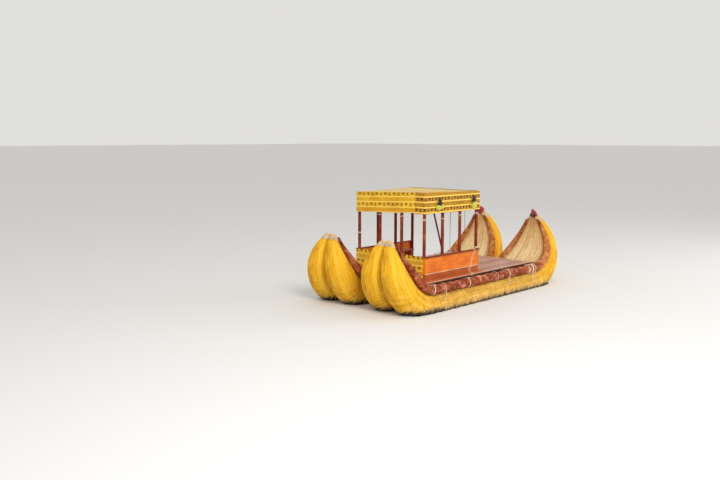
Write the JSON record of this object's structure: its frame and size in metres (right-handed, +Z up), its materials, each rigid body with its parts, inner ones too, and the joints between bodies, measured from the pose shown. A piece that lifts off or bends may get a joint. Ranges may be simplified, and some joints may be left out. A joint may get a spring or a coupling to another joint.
{
  "type": "twin-hull reed boat",
  "caption": "Reed boat with twin upturned bundle hulls under a plank deck, and an open-sided cabin with a flat roof, cloth valance and low walls.",
  "frame": {"origin": "on the flat under the hulls, below the middle of the bounding box", "axes": "+X forward to the bow, +Y to port, +Z up"},
  "size_m": [7.7514, 3.6014, 3.2153],
  "materials": {
    "reed": "bound golden reed",
    "roll_reed": "bound reed stained red-brown",
    "pale_reed": "pale straw facing",
    "deck_paint": "glossy red-brown paint",
    "post_paint": "red-brown paint",
    "raw_wood": "weathered timber",
    "wall_paint": "orange paint",
    "roof_reed": "dry reed mat",
    "cloth": "woven patterned cloth",
    "tassel": "wool yarn",
    "head": "dyed wool over reed",
    "white_paint": "white paint",
    "cord": "dark cord"
  },
  "bodies": {
    "root": {"outer_bundle_port": "reed", "inner_bundle_port": "reed", "outer_roll_port": "roll_reed", "inner_roll_port": "roll_reed", "bow_lining_port": "pale_reed", "stern_lining_port": "pale_reed", "bow_head_port": "head", "deck_edge_port": "deck_paint", "side_posts_port": "post_paint", "valance_port": "cloth", "side_wall_port": "wall_paint", "wall_cap_port": "post_paint", "bench_port": "deck_paint", "outer_bundle_stbd": "reed", "inner_bundle_stbd": "reed", "outer_roll_stbd": "roll_reed", "inner_roll_stbd": "roll_reed", "bow_lining_stbd": "pale_reed", "stern_lining_stbd": "pale_reed", "bow_head_stbd": "head", "deck_edge_stbd": "deck_paint", "side_posts_stbd": "post_paint", "valance_stbd": "cloth", "side_wall_stbd": "wall_paint", "wall_cap_stbd": "post_paint", "bench_stbd": "deck_paint", "deck_edge_aft": "deck_paint", "valance_aft": "cloth", "tassel_aft": "tassel", "deck_edge_fwd": "deck_paint", "valance_fwd": "cloth", "tassel_fwd": "tassel", "cross_beams": "raw_wood", "cabin_planks": "deck_paint", "foredeck_planks": "deck_paint", "corner_posts": "post_paint", "aft_posts": "post_paint", "roof_plates": "post_paint", "rafters": "raw_wood", "fascia_boards": "raw_wood", "roof_mat": "roof_reed", "aft_wall": "wall_paint", "aft_wall_cloth": "cloth", "bench_aft": "deck_paint", "leaning_pole": "post_paint", "pale_pole": "white_paint", "hanging_cord": "cord"}
  },
  "joints": []
}
